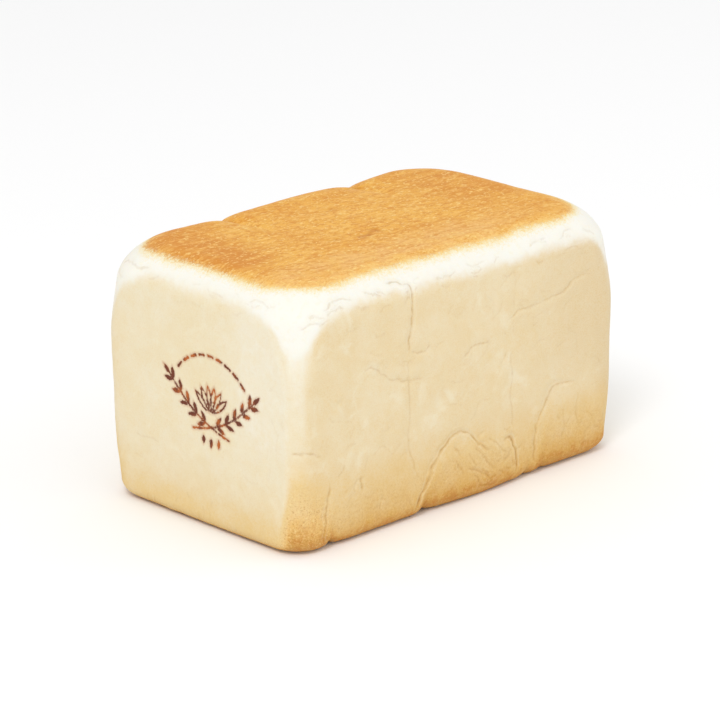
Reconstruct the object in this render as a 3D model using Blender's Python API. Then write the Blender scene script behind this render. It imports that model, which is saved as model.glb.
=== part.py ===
"""Tin loaf: a white pan loaf baked in a lidded tin from three dough pieces laid in a row.

One closed solid, 'loaf', standing on its flat base at z = 0. +X runs along the loaf, from the end
that carries the baker's mark (-X) to the plain end (+X). -Y is the side with the clearer dough seams.
The form is a soft-edged block: at each height its outline is a rectangle with rounded corners, the
top and base edges roll over on their own radii, and the corners open out towards the top, where the
dough stopped short of the tin. Valleys mark where the dough pieces meet.
"""

import math

import bpy
import numpy as np

# ---------------------------------------------------------------- driving sizes, in metres
LENGTH = 0.1905          # along X, between the flat ends of the tin
WIDTH = 0.1178           # along Y
HEIGHT = 0.1110          # flat base to the top crust
FLARE = 0.0044           # the tin is this much wider at the rim than at the base
END_WAIST = 0.0007       # the ends sink this much at mid height as the loaf cools
SIDE_WAIST = -0.0002     # the sides stay nearly flat

TOP_EDGE_R = 0.0161      # roll of the top edges
BASE_EDGE_R = 0.0067     # roll of the base edges
POST_R = 0.0085          # upright corners, seen from above, at mid height
POST_R_TOP = 0.0224      # the same corners at the top
POST_R_BASE = 0.0133     # and at the base
POST_OPENS_AT = 0.60     # share of the height above which the corners open out
POST_CLOSES_AT = 0.30    # and below which they open out again

TOP_DISH = 0.0006        # the middle of the top crust sinks by this much

# Where the dough pieces meet: x of the valley, its depth, and how far its -X and +X flanks run.
FAR_TOP_VALLEYS = (
    (-0.0325, 0.0018, 0.0062, 0.0026),
    (0.0375, 0.0025, 0.0068, 0.0100),
)
NEAR_TOP_VALLEYS = ((-0.0310, 0.0006, 0.0060, 0.0060), (0.0310, 0.0005, 0.0070, 0.0070))
NEAR_BASE_VALLEYS = (
    (-0.0740, 0.0021, 0.0022, 0.0034),
    (-0.0215, 0.0019, 0.0020, 0.0034),
    (0.0400, 0.0011, 0.0018, 0.0018),
    (0.0500, 0.0010, 0.0016, 0.0022),
)
FAR_BASE_VALLEYS = (
    (-0.0320, 0.0022, 0.0042, 0.0030),
    (0.0370, 0.0020, 0.0030, 0.0042),
    (0.0700, 0.0013, 0.0026, 0.0026),
)
# Middles of the dough pieces that swell a little between the valleys: side, x, reach, swell.
SWELLS = ((-1, 0.0090, 0.0340, 0.0010), (1, 0.0030, 0.0330, 0.0005), (1, -0.0650, 0.0230, 0.0002))
SIDE_SEAMS = ((-1, -0.0305), (-1, 0.0285), (1, -0.0330), (1, 0.0350))   # (side, x) of upright seams
SIDE_SEAM_DEPTH = 0.0006
SIDE_SEAM_FLANK = 0.0022
# Skirts of dough that lapped over the side near the base: side, left and right foot, crown height, relief.
LAPS = (
    (-1, -0.0260, 0.0280, 0.0310, 0.0009),
    (-1, 0.0450, 0.0870, 0.0385, 0.0008),
    (1, -0.0310, 0.0120, 0.0280, 0.0008),
    (1, 0.0380, 0.0800, 0.0340, 0.0008),
)
BASE_SEAMS = (-0.0300, 0.0310)   # x of the seams that cross the underside
BASE_SEAM_DEPTH = 0.0009

# ---------------------------------------------------------------- mesh lines
CORE_INSET = 0.0290      # the inner box from which the skin is cast outwards
CORE_TOP = 0.0200
CORE_BASE = 0.0110


def smooth(t):
    t = np.clip(t, 0.0, 1.0)
    return t * t * (3.0 - 2.0 * t)


def half_sizes(z):
    """Half length and half width of the outline at height z, before the edges roll over."""
    s = np.clip(z / HEIGHT, 0.0, 1.0)
    a = LENGTH / 2 - END_WAIST * np.sin(math.pi * s)
    b = WIDTH / 2 + FLARE / 2 * (s - 0.5) - SIDE_WAIST * np.sin(math.pi * s)
    return a, b


def post_radius(z):
    s = z / HEIGHT
    return (
        POST_R
        + (POST_R_TOP - POST_R) * smooth((s - POST_OPENS_AT) / (1 - POST_OPENS_AT))
        + (POST_R_BASE - POST_R) * smooth((POST_CLOSES_AT - s) / POST_CLOSES_AT)
    )


def edge_inset(z):
    """How far the outline has drawn in at height z, on the roll of the top and base edges."""
    up = np.clip(z - (HEIGHT - TOP_EDGE_R), 0.0, TOP_EDGE_R)
    down = np.clip(BASE_EDGE_R - z, 0.0, BASE_EDGE_R)
    return (
        TOP_EDGE_R - np.sqrt(TOP_EDGE_R**2 - up**2)
        + BASE_EDGE_R - np.sqrt(BASE_EDGE_R**2 - down**2)
    )


def outside(p):
    """Below zero inside the plain block, above zero outside it."""
    x, y, z = p[:, 0], p[:, 1], p[:, 2]
    a, b = half_sizes(z)
    inset, r = edge_inset(z), post_radius(z)
    qx = np.abs(x) - (a - inset - r)
    qy = np.abs(y) - (b - inset - r)
    flat = (
        np.minimum(np.maximum(qx, qy), 0.0)
        + np.hypot(np.maximum(qx, 0.0), np.maximum(qy, 0.0))
        - r
    )
    return np.maximum(flat, np.maximum(z - HEIGHT, -z))


def cast(points):
    """Each point of the outer box, drawn in along its ray from the inner box until it meets the block."""
    lo = np.array([-LENGTH / 2 + CORE_INSET, -WIDTH / 2 + CORE_INSET, CORE_BASE])
    hi = np.array([LENGTH / 2 - CORE_INSET, WIDTH / 2 - CORE_INSET, HEIGHT - CORE_TOP])
    core = np.clip(points, lo, hi)
    ray = points - core
    near, far = np.zeros(len(points)), np.full(len(points), 1.25)
    for _ in range(44):
        mid = (near + far) / 2
        out = outside(core + ray * mid[:, None]) > 0
        far = np.where(out, mid, far)
        near = np.where(out, near, mid)
    return core + ray * near[:, None]


def outward(p):
    """Outward direction of the plain block at its surface points."""
    h = 2e-5
    grad = np.stack(
        [outside(p + h * e) - outside(p - h * e) for e in np.eye(3)], axis=1
    )
    grad[p[:, 2] > HEIGHT - 1e-6] = (0, 0, 1)
    grad[p[:, 2] < 1e-6] = (0, 0, -1)
    return grad / np.linalg.norm(grad, axis=1)[:, None]


def cusp(d, minus, plus, soft=0.0008):
    """1 on the valley line, falling away on both flanks, with a slightly rounded floor."""
    return np.exp(-(np.sqrt(d**2 + soft**2) - soft) / np.where(d < 0, minus, plus))


def lap(x, z, left, right, crown, relief, edge=0.0040):
    """A lapped skirt: raised under an arch from foot to foot, with its edge on the arch."""
    mid, reach = (left + right) / 2, (right - left) / 2
    arch = crown * np.sqrt(np.clip(1 - np.abs((x - mid) / reach) ** 2.4, 0, 1))
    return relief * smooth((arch - z) / edge) * smooth((z - 0.002) / 0.012)


def relief(p, n):
    """How far the real crust lies outside (+) or inside (-) the plain block, along its normal."""
    x, y, z = p[:, 0], p[:, 1], p[:, 2]
    near, far = smooth((-n[:, 1] - 0.1) / 0.5), smooth((n[:, 1] - 0.1) / 0.5)
    under, over = smooth((-n[:, 2] - 0.02) / 0.5), smooth((n[:, 2] - 0.02) / 0.5)
    low = smooth((0.030 - z) / 0.026) * (1 - under * smooth((WIDTH / 2 - 0.012 - np.abs(y)) / 0.010))
    top_roll = smooth((z - (HEIGHT - 0.034)) / 0.030) * smooth((np.abs(y) - 0.010) / 0.034)
    ends = 1 - smooth((np.abs(x) - (LENGTH / 2 - 0.020)) / 0.014)
    d = np.zeros(len(p))
    front, back = smooth((-y) / 0.020), smooth(y / 0.020)
    for x0, depth, minus, plus in FAR_TOP_VALLEYS:
        d -= depth * cusp(x - x0, minus, plus) * back * top_roll
    for x0, depth, minus, plus in NEAR_TOP_VALLEYS:
        d -= depth * cusp(x - x0, minus, plus) * front * top_roll
    for x0, depth, minus, plus in NEAR_BASE_VALLEYS:
        d -= depth * cusp(x - x0, minus, plus) * front * low
    for x0, depth, minus, plus in FAR_BASE_VALLEYS:
        d -= depth * cusp(x - x0, minus, plus) * back * low
    for side, x0, reach, swell in SWELLS:
        d += swell * smooth(1 - np.abs(x - x0) / reach) * np.where(side < 0, front * low, back * top_roll)
    for side, x0 in SIDE_SEAMS:
        d -= SIDE_SEAM_DEPTH * cusp(x - x0, SIDE_SEAM_FLANK, SIDE_SEAM_FLANK, 0.0004) * (near if side < 0 else far)
    for side, left, right, crown, raised in LAPS:
        d += lap(x, z, left, right, crown, raised) * (near if side < 0 else far) * (1 - under)
    flat_base = smooth((-n[:, 2] - 0.9) / 0.09)
    for x0 in BASE_SEAMS:
        d -= BASE_SEAM_DEPTH * cusp(x - x0 - 0.0015 * np.sin(y * 70), 0.0028, 0.0028) * flat_base
    d -= TOP_DISH * over * smooth(1 - (x / 0.085) ** 2) * smooth(1 - (y / 0.050) ** 2)
    # A slow unevenness, as no two places filled the tin alike; the base stays flat.
    wave = (
        0.00025 * np.sin(x * 61 + 0.7) * np.sin(z * 47 + 1.1)
        + 0.00018 * np.sin(y * 83 + x * 33 + 2.1)
        + 0.00015 * np.sin(x * 127 + z * 71)
    )
    return d + wave * (1 - under) * (0.4 + 0.6 * ends)


def lines(stops):
    """Grid lines through (position, number of steps to the next stop) pairs."""
    out = []
    for (start, steps), (end, _) in zip(stops, stops[1:]):
        out += [start + (end - start) * k / steps for k in range(steps)]
    return np.array(out + [stops[-1][0]])


def box_grid(gx, gy, gz):
    """Points and quads of a closed box whose faces carry the three sets of grid lines."""
    index, points, quads = {}, [], []

    def corner(i, j, k):
        key = (i, j, k)
        if key not in index:
            index[key] = len(points)
            points.append((gx[i], gy[j], gz[k]))
        return index[key]

    nx, ny, nz = len(gx) - 1, len(gy) - 1, len(gz) - 1
    for i in range(nx):
        for j in range(ny):
            quads.append([corner(i, j, 0), corner(i, j + 1, 0), corner(i + 1, j + 1, 0), corner(i + 1, j, 0)])
            quads.append([corner(i, j, nz), corner(i + 1, j, nz), corner(i + 1, j + 1, nz), corner(i, j + 1, nz)])
    for i in range(nx):
        for k in range(nz):
            quads.append([corner(i, 0, k), corner(i + 1, 0, k), corner(i + 1, 0, k + 1), corner(i, 0, k + 1)])
            quads.append([corner(i, ny, k), corner(i, ny, k + 1), corner(i + 1, ny, k + 1), corner(i + 1, ny, k)])
    for j in range(ny):
        for k in range(nz):
            quads.append([corner(0, j, k), corner(0, j, k + 1), corner(0, j + 1, k + 1), corner(0, j + 1, k)])
            quads.append([corner(nx, j, k), corner(nx, j + 1, k), corner(nx, j + 1, k + 1), corner(nx, j, k + 1)])
    return np.array(points), quads


def crust_material():
    """Pale crust, browned on the lid side: one plain colour here stands for both."""
    mat = bpy.data.materials.new("crust")
    mat.use_nodes = True
    shader = mat.node_tree.nodes["Principled BSDF"]
    shader.inputs["Base Color"].default_value = (0.86, 0.70, 0.43, 1.0)
    shader.inputs["Roughness"].default_value = 0.62
    shader.inputs["Metallic"].default_value = 0.0
    return mat


def build():
    for obj in list(bpy.data.objects):
        bpy.data.objects.remove(obj, do_unlink=True)
    a, b = LENGTH / 2, WIDTH / 2
    gx = lines([
        (-a, 5), (-a + 0.0160, 1), (-0.0765, 1), (-0.0740, 1), (-0.0710, 4), (-0.0500, 2), (-0.0370, 1), (-0.0325, 1),
        (-0.0305, 1), (-0.0275, 1), (-0.0235, 1), (-0.0210, 1), (-0.0175, 1), (-0.0130, 6), (0.0240, 1), (0.0285, 1),
        (0.0330, 1), (0.0370, 1), (0.0395, 1), (0.0420, 1), (0.0465, 1), (0.0495, 1), (0.0530, 3), (0.0680, 2),
        (a - 0.0160, 5), (a, 0),
    ])
    gy = lines([(-b, 6), (-b + 0.0200, 9), (b - 0.0200, 6), (b, 0)])
    gz = lines([(0.0, 4), (0.0110, 4), (0.0300, 6), (HEIGHT - 0.0300, 3), (HEIGHT - 0.0180, 5), (HEIGHT, 0)])
    points, quads = box_grid(gx, gy, gz)
    skin = cast(points)
    normal = outward(skin)
    skin = skin + normal * relief(skin, normal)[:, None]
    skin[:, 2] = np.maximum(skin[:, 2], 0.0)
    mesh = bpy.data.meshes.new("loaf")
    mesh.from_pydata([tuple(map(float, p)) for p in skin], [], quads)
    mesh.validate()
    mesh.update()
    mesh.shade_smooth()
    loaf = bpy.data.objects.new("loaf", mesh)
    bpy.context.scene.collection.objects.link(loaf)
    loaf.data.materials.append(crust_material())
    return loaf


build()
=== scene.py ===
"""Looks of the tin loaf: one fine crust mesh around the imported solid, its baked material, floor, lamps and camera."""

import math

import bpy
import numpy as np
from mathutils import Matrix, Vector


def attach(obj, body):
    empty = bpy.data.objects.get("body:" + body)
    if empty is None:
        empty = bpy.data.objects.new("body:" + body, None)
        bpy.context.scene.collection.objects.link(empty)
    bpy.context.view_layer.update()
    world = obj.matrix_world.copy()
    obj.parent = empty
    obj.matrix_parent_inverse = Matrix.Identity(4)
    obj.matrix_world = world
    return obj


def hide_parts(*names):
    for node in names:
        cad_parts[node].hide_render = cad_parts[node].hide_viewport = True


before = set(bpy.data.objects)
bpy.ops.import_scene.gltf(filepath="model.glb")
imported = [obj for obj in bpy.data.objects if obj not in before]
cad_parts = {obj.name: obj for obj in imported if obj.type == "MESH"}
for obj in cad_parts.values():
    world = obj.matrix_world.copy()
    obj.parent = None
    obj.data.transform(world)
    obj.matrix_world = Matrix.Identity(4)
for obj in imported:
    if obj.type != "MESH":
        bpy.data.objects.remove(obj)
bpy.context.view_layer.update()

# ---------------------------------------------------------------- form, in metres (the CAD's own sizes)
LENGTH, WIDTH, HEIGHT = 0.1905, 0.1178, 0.1110
FLARE, END_WAIST, SIDE_WAIST = 0.0044, 0.0007, -0.0002
TOP_EDGE_R, BASE_EDGE_R = 0.0161, 0.0067
POST_R, POST_R_TOP, POST_R_BASE = 0.0085, 0.0224, 0.0133
POST_OPENS_AT, POST_CLOSES_AT = 0.60, 0.30
CORE_INSET, CORE_TOP, CORE_BASE = 0.0290, 0.0200, 0.0110
MM = 0.001

GRID = 2.3 * MM          # edge of the mesh where the crust is plain
ROUNDS = 2               # halvings near seams, folds and the mark


def smooth(t):
    t = np.clip(t, 0.0, 1.0)
    return t * t * (3.0 - 2.0 * t)


# ---------------------------------------------------------------- the plain block
def half_sizes(z):
    s = np.clip(z / HEIGHT, 0.0, 1.0)
    a = LENGTH / 2 - END_WAIST * np.sin(math.pi * s)
    b = WIDTH / 2 + FLARE / 2 * (s - 0.5) - SIDE_WAIST * np.sin(math.pi * s)
    return a, b


def post_radius(z):
    s = z / HEIGHT
    return (
        POST_R
        + (POST_R_TOP - POST_R) * smooth((s - POST_OPENS_AT) / (1 - POST_OPENS_AT))
        + (POST_R_BASE - POST_R) * smooth((POST_CLOSES_AT - s) / POST_CLOSES_AT)
    )


def edge_inset(z):
    up = np.clip(z - (HEIGHT - TOP_EDGE_R), 0.0, TOP_EDGE_R)
    down = np.clip(BASE_EDGE_R - z, 0.0, BASE_EDGE_R)
    return (
        TOP_EDGE_R - np.sqrt(TOP_EDGE_R**2 - up**2)
        + BASE_EDGE_R - np.sqrt(BASE_EDGE_R**2 - down**2)
    )


def outside(p):
    x, y, z = p[:, 0], p[:, 1], p[:, 2]
    a, b = half_sizes(z)
    inset, r = edge_inset(z), post_radius(z)
    qx = np.abs(x) - (a - inset - r)
    qy = np.abs(y) - (b - inset - r)
    flat = (
        np.minimum(np.maximum(qx, qy), 0.0)
        + np.hypot(np.maximum(qx, 0.0), np.maximum(qy, 0.0))
        - r
    )
    return np.maximum(flat, np.maximum(z - HEIGHT, -z))


def cast(points):
    lo = np.array([-LENGTH / 2 + CORE_INSET, -WIDTH / 2 + CORE_INSET, CORE_BASE])
    hi = np.array([LENGTH / 2 - CORE_INSET, WIDTH / 2 - CORE_INSET, HEIGHT - CORE_TOP])
    core = np.clip(points, lo, hi)
    ray = points - core
    near, far = np.zeros(len(points)), np.full(len(points), 1.25)
    for _ in range(40):
        mid = (near + far) / 2
        out = outside(core + ray * mid[:, None]) > 0
        far = np.where(out, mid, far)
        near = np.where(out, near, mid)
    return core + ray * near[:, None]


def outward(p):
    h = 1.2e-4
    grad = np.stack([outside(p + h * e) - outside(p - h * e) for e in np.eye(3)], axis=1)
    return grad / np.linalg.norm(grad, axis=1)[:, None]


# ---------------------------------------------------------------- smooth noise on points
def lattice(ix, iy, iz, seed):
    h = (ix * 374761393 + iy * 668265263 + iz * 2147483647 + seed * 1274126177) & 0xFFFFFFFF
    h = ((h ^ (h >> 13)) * 1274126177) & 0xFFFFFFFF
    h = ((h ^ (h >> 16)) * 2246822519) & 0xFFFFFFFF
    return ((h ^ (h >> 15)) & 0xFFFF) / 32767.5 - 1.0


def noise(p, size, seed, stretch=(1, 1, 1)):
    """Value noise, about -1 to 1, with features of the given size; stretch lengthens them along an axis."""
    q = p / (size * np.array(stretch, float)) + seed * 7.31
    i = np.floor(q).astype(np.int64)
    f = q - i
    f = f * f * f * (f * (f * 6 - 15) + 10)
    total = 0.0
    for dx in (0, 1):
        for dy in (0, 1):
            for dz in (0, 1):
                w = (
                    (f[:, 0] if dx else 1 - f[:, 0])
                    * (f[:, 1] if dy else 1 - f[:, 1])
                    * (f[:, 2] if dz else 1 - f[:, 2])
                )
                total = total + w * lattice(i[:, 0] + dx, i[:, 1] + dy, i[:, 2] + dz, seed)
    return total


# ---------------------------------------------------------------- seams and folds
# Each is a line on one face, in that face's own millimetres: (x, z) on the sides, (y, z) on the ends and
# (x, y) on the top and base. Then come its depth and half width in mm, and how much its -side or +side
# stands proud as a lap (0 for a plain fold), and how strongly its floor is stained, 0 to 1.
NEAR_FOLDS = [
    ([(-42, 105.5), (-36, 104), (-31.5, 102), (-29.5, 99), (-30, 90), (-31, 84), (-32.5, 79), (-31.5, 75)], 0.66, 1.1, 0.10, 0.64),
    ([(-31.5, 73), (-33, 65), (-32, 50), (-32.5, 38), (-31, 30), (-28, 22), (-24, 14)], 0.32, 1.5, 0.0, 0.24),
    ([(-27.5, 4), (-24, 11), (-19, 19.5), (-13, 27), (-6, 31), (1, 30.5), (4, 28.5), (9, 24), (14, 20)], 0.72, 1.3, -0.45, 0.85),
    ([(24, 21.5), (28, 21), (30, 17), (32, 11), (31.5, 5)], 0.85, 1.1, 0.12, 1.0),
    ([(44, 7), (43, 14), (45, 24), (50, 32), (54, 37.5), (59, 39), (67, 37.5)], 0.60, 1.3, -0.32, 0.55),
    ([(27, 60), (28, 50), (27.5, 40), (29, 30), (30, 25)], 0.22, 1.6, 0.0, 0.25),
    ([(28, 98), (30, 88), (28.5, 76), (29, 66)], 0.16, 2.2, 0.0, 0.12),
    ([(77, 84), (70, 84), (65, 83), (60, 80.5), (50, 78.5), (40, 78), (33, 77.5), (25, 74)], 0.36, 1.3, 0.16, 0.32),
    ([(-58, 72), (-54, 73), (-50, 71), (-45, 66), (-40, 64), (-33, 63), (-25, 61)], 0.36, 1.8, 0.12, 0.34),
    ([(-30, 74.6), (-28, 74), (-25, 73), (-20, 74.5)], 0.40, 1.3, 0.0, 0.34),
    ([(-2, 64), (3, 67.5), (8, 68.5), (15, 67.5)], 0.26, 1.7, 0.14, 0.4),
    ([(-77, 28), (-79, 18), (-78.5, 10), (-80, 4)], 0.45, 1.2, 0.10, 0.6),
    ([(-59, 27), (-58.6, 21)], 0.50, 1.0, 0.0, 0.55),
    ([(-94, 46), (-88, 44), (-81, 42)], 0.30, 1.1, 0.0, 0.45),
    ([(1, 15.5), (6, 13.5), (12, 10), (17, 6)], 0.34, 1.1, 0.10, 0.45),
    ([(6, 23), (11, 19), (15, 13.5), (19, 11)], 0.28, 1.2, 0.0, 0.35),
    ([(14, 25.5), (19, 22), (23, 17), (26, 15)], 0.26, 1.2, 0.0, 0.35),
    ([(8, 6), (13, 4.5), (20, 5)], 0.30, 1.1, 0.0, 0.35),
    ([(60, 27), (61.5, 20), (60, 14)], 0.22, 1.2, 0.0, 0.25),
    ([(69, 32), (68, 24), (70, 17)], 0.18, 1.3, 0.0, 0.2),
    ([(-52, 34), (-46, 37), (-41, 33), (-36, 36)], 0.16, 1.5, 0.0, 0.15),
    ([(-68, 55), (-64, 49), (-66, 42)], 0.14, 1.8, 0.0, 0.1),
    ([(-5, 45), (2, 49), (9, 46)], 0.14, 1.8, 0.0, 0.1),
    ([(12, 88), (17, 84), (16, 78)], 0.14, 1.6, 0.0, 0.12),
    ([(40, 58), (46, 62), (52, 60)], 0.14, 1.8, 0.0, 0.1),
    ([(62, 62), (68, 57), (67, 50)], 0.14, 1.8, 0.0, 0.1),
    ([(-78, 101.5), (-74, 103.5), (-68, 104), (-62, 102.6)], 0.32, 1.0, 0.0, 0.35),
    ([(-56, 104), (-51, 103), (-47, 101.2)], 0.30, 1.0, 0.0, 0.4),
    ([(2, 103.2), (7, 102.2), (13, 102.6)], 0.20, 1.1, 0.0, 0.2),
    ([(40, 102.4), (45, 104.6), (51, 104.6)], 0.24, 1.1, 0.0, 0.25),
    ([(58, 102), (62, 104.2), (67, 104.8)], 0.24, 1.1, 0.0, 0.25),
    ([(-88, 96), (-84, 97.5), (-80, 96)], 0.26, 1.0, 0.0, 0.25),
]
FAR_FOLDS = [
    ([(-34, 101), (-32.5, 92), (-33.5, 80), (-31.5, 66), (-33, 52), (-32, 38), (-34, 27), (-38, 15), (-40, 5)], 0.55, 1.2, 0.08, 0.6),
    ([(-30, 5), (-27, 14), (-20, 22), (-11, 27), (-2, 27.5), (6, 23), (11, 15)], 0.60, 1.1, -0.36, 0.7),
    ([(36, 104), (35, 94), (36.5, 82), (35, 70)], 0.60, 1.0, 0.08, 0.7),
    ([(35, 70), (37, 56), (35.5, 40), (34, 26), (36, 12)], 0.32, 1.4, 0.0, 0.4),
    ([(38, 5), (42, 16), (48, 26), (57, 33), (66, 33), (73, 27)], 0.56, 1.2, -0.30, 0.6),
    ([(-80, 70), (-72, 73), (-64, 70), (-55, 71), (-46, 66)], 0.32, 1.4, 0.12, 0.45),
    ([(-18, 82), (-8, 85), (4, 82), (16, 84)], 0.28, 1.5, 0.10, 0.35),
    ([(46, 62), (55, 66), (64, 63), (74, 66)], 0.26, 1.5, 0.10, 0.35),
    ([(-70, 6), (-68, 14), (-71, 24)], 0.42, 1.1, 0.08, 0.5),
    ([(-12, 15), (-5, 11), (1, 6)], 0.30, 1.1, 0.0, 0.4),
    ([(52, 18), (57, 12), (64, 9)], 0.30, 1.1, 0.0, 0.4),
    ([(-58, 48), (-50, 45), (-44, 49)], 0.14, 1.8, 0.0, 0.12),
    ([(12, 46), (20, 50), (26, 46)], 0.14, 1.8, 0.0, 0.12),
    ([(-70, 103), (-62, 104.4), (-56, 103)], 0.28, 1.0, 0.0, 0.3),
    ([(-8, 103), (0, 104.4), (9, 103)], 0.26, 1.0, 0.0, 0.3),
    ([(52, 103.4), (60, 104.4), (68, 102.6)], 0.28, 1.0, 0.0, 0.3),
]
MARK_END_FOLDS = [   # (y, z) on the -X end; y falls towards the near side
    ([(40, 31.5), (33, 30.5), (25, 31)], 0.16, 1.5, 0.0, 0.2),
    ([(42, 22), (34, 21.2)], 0.12, 1.6, 0.0, 0.12),
    ([(50, 102), (43, 103.6), (37, 103), (31, 103.4)], 0.26, 1.2, 0.10, 0.32),
    ([(-26, 30), (-31, 27), (-35, 28)], 0.12, 1.6, 0.0, 0.1),
    ([(-44, 58), (-47, 50), (-46, 43)], 0.14, 1.6, 0.0, 0.12),
    ([(14, 94), (4, 96), (-6, 94.5)], 0.10, 2.0, 0.0, 0.08),
    ([(-30, 103), (-36, 104.4), (-42, 102.8)], 0.20, 1.1, 0.0, 0.2),
]
PLAIN_END_FOLDS = [
    ([(-38, 102), (-30, 104), (-20, 103.2)], 0.28, 1.1, 0.0, 0.3),
    ([(18, 103.4), (28, 104.2), (36, 102.4)], 0.26, 1.1, 0.0, 0.3),
    ([(-36, 66), (-26, 69), (-15, 66), (-4, 68), (8, 64)], 0.26, 1.5, 0.10, 0.35),
    ([(12, 34), (22, 38), (34, 35)], 0.20, 1.6, 0.0, 0.2),
    ([(-30, 8), (-27, 18), (-19, 25), (-8, 26), (2, 20)], 0.42, 1.2, -0.22, 0.5),
    ([(24, 5), (26, 14), (23, 22)], 0.30, 1.1, 0.0, 0.4),
]
TOP_FOLDS = [
    ([(-18, -15.5), (-13, -15.2), (-8, -13), (-3, -12.6)], 0.34, 2.4, 0.0, 1.0),
    ([(-31, -10.5), (-27, -11.5), (-24, -11)], 0.24, 1.4, 0.0, 0.55),
    ([(-36, 58), (-35, 50), (-36, 42), (-33, 34)], 0.30, 3.0, 0.0, 0.03),
    ([(37, 58), (34, 51), (36, 43), (33, 34)], 0.32, 3.0, 0.0, 0.03),
    ([(-6, 20), (2, 22), (9, 20)], 0.14, 1.8, 0.0, 0.25),
    ([(50, 6), (56, 9), (63, 8)], 0.14, 1.8, 0.0, 0.25),
    ([(-66, 14), (-60, 11), (-53, 12)], 0.14, 1.8, 0.0, 0.2),
]
BASE_FOLDS = [
    ([(-21.5, -57), (-25, -40), (-28, -22), (-29, 0), (-31, 22), (-30, 42), (-33, 57)], 0.85, 1.7, 0.12, 0.6),
    ([(40, -57), (36, -42), (33, -20), (31, 2), (33, 24), (35, 42), (37, 57)], 0.85, 1.7, -0.12, 0.6),
    ([(-74, -56), (-71, -44), (-74, -34)], 0.45, 1.5, 0.0, 0.4),
    ([(-70, 30), (-60, 34), (-52, 30)], 0.24, 1.8, 0.0, 0.25),
    ([(0, -18), (8, -14), (14, -18)], 0.24, 1.8, 0.0, 0.25),
    ([(58, 16), (66, 20), (75, 17)], 0.24, 1.8, 0.0, 0.25),
]


def scatter(seed, count, box, length, lean, depth, stain):
    """Short wrinkles strewn over a box (x0, x1, y0, y1) in mm: their lengths and leans lie between the
    two values given, and their depths and stains up to the two given."""
    rng = np.random.default_rng(seed)
    out = []
    for _ in range(count):
        x, y = rng.uniform(box[0], box[1]), rng.uniform(box[2], box[3])
        a = math.radians(rng.uniform(*lean))
        half, bow = rng.uniform(*length) / 2, rng.uniform(-0.28, 0.28)
        c, s = math.cos(a), math.sin(a)
        mid = (x - s * bow * half * 1.4, y + c * bow * half * 1.4)
        stops = [(x - c * half, y - s * half), mid, (x + c * half, y + s * half)]
        out.append((stops, rng.uniform(0.35, 1.0) * depth, rng.uniform(0.8, 1.3), 0.0, rng.uniform(0.2, 1.0) * stain))
    return out


NEAR_FOLDS += scatter(41, 34, (-88, 84, 93, 104), (3, 9), (-22, 24), 0.26, 0.34)
NEAR_FOLDS += scatter(42, 26, (-10, 36, 6, 27), (3, 8), (-70, 40), 0.26, 0.42)
NEAR_FOLDS += scatter(43, 18, (-88, -30, 6, 34), (3, 8), (-80, 80), 0.18, 0.25)
NEAR_FOLDS += scatter(44, 12, (46, 88, 5, 36), (3, 8), (-80, 80), 0.18, 0.30)
NEAR_FOLDS += scatter(45, 54, (-84, 84, 34, 92), (3, 9), (-40, 60), 0.19, 0.20)
FAR_FOLDS += scatter(51, 32, (-86, 84, 93, 104), (3, 9), (-22, 24), 0.26, 0.30)
FAR_FOLDS += scatter(52, 34, (-84, 84, 6, 32), (3, 8), (-70, 70), 0.22, 0.34)
FAR_FOLDS += scatter(53, 34, (-84, 84, 34, 92), (3, 9), (-40, 60), 0.13, 0.16)
MARK_END_FOLDS += scatter(61, 12, (-50, 50, 96, 104), (3, 8), (-25, 25), 0.16, 0.20)
MARK_END_FOLDS += scatter(62, 10, (-52, -40, 12, 90), (3, 7), (40, 120), 0.14, 0.14)
MARK_END_FOLDS += scatter(63, 10, (-48, 50, 4, 12), (2, 5), (50, 130), 0.14, 0.30)
PLAIN_END_FOLDS += scatter(71, 16, (-48, 48, 94, 104), (3, 8), (-25, 25), 0.20, 0.24)
PLAIN_END_FOLDS += scatter(72, 26, (-50, 50, 8, 90), (3, 8), (-60, 80), 0.13, 0.18)


def curve_points(stops, step=0.8):
    """Points along a smooth curve through the stops, one every step mm."""
    s = np.array(stops, float)
    if len(s) == 2:
        n = max(2, int(np.hypot(*(s[1] - s[0])) / step))
        return s[0] + (s[1] - s[0]) * np.linspace(0, 1, n)[:, None]
    ext = np.vstack([2 * s[0] - s[1], s, 2 * s[-1] - s[-2]])
    out = []
    for k in range(1, len(ext) - 2):
        p0, p1, p2, p3 = ext[k - 1 : k + 3]
        n = max(2, int(np.hypot(*(p2 - p1)) / step))
        t = np.linspace(0, 1, n, endpoint=(k == len(ext) - 3))[:, None]
        out.append(0.5 * (2 * p1 + (p2 - p0) * t + (2 * p0 - 5 * p1 + 4 * p2 - p3) * t**2 + (3 * p1 - p0 - 3 * p2 + p3) * t**3))
    return np.vstack(out)


def along(uv, stops):
    """Distance to the line, signed distance to its left, and share of the way along it."""
    c = curve_points(stops)
    best = np.full(len(uv), 1e9)
    side = np.zeros(len(uv))
    share = np.zeros(len(uv))
    lo, hi = c.min(0) - 14, c.max(0) + 14
    pick = np.nonzero(((uv > lo) & (uv < hi)).all(1))[0]
    q = uv[pick]
    b, sd, sh = best[pick], side[pick], share[pick]
    for k in range(len(c) - 1):
        a, d = c[k], c[k + 1] - c[k]
        L2 = d @ d
        t = np.clip(((q - a) @ d) / L2, 0, 1)
        off = q - a - t[:, None] * d
        dist = np.hypot(off[:, 0], off[:, 1])
        hit = dist < b
        b = np.where(hit, dist, b)
        sd = np.where(hit, np.sign(d[0] * off[:, 1] - d[1] * off[:, 0]) * dist, sd)
        sh = np.where(hit, (k + t) / (len(c) - 1), sh)
    best[pick], side[pick], share[pick] = b, sd, sh
    return best, side, share


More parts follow.
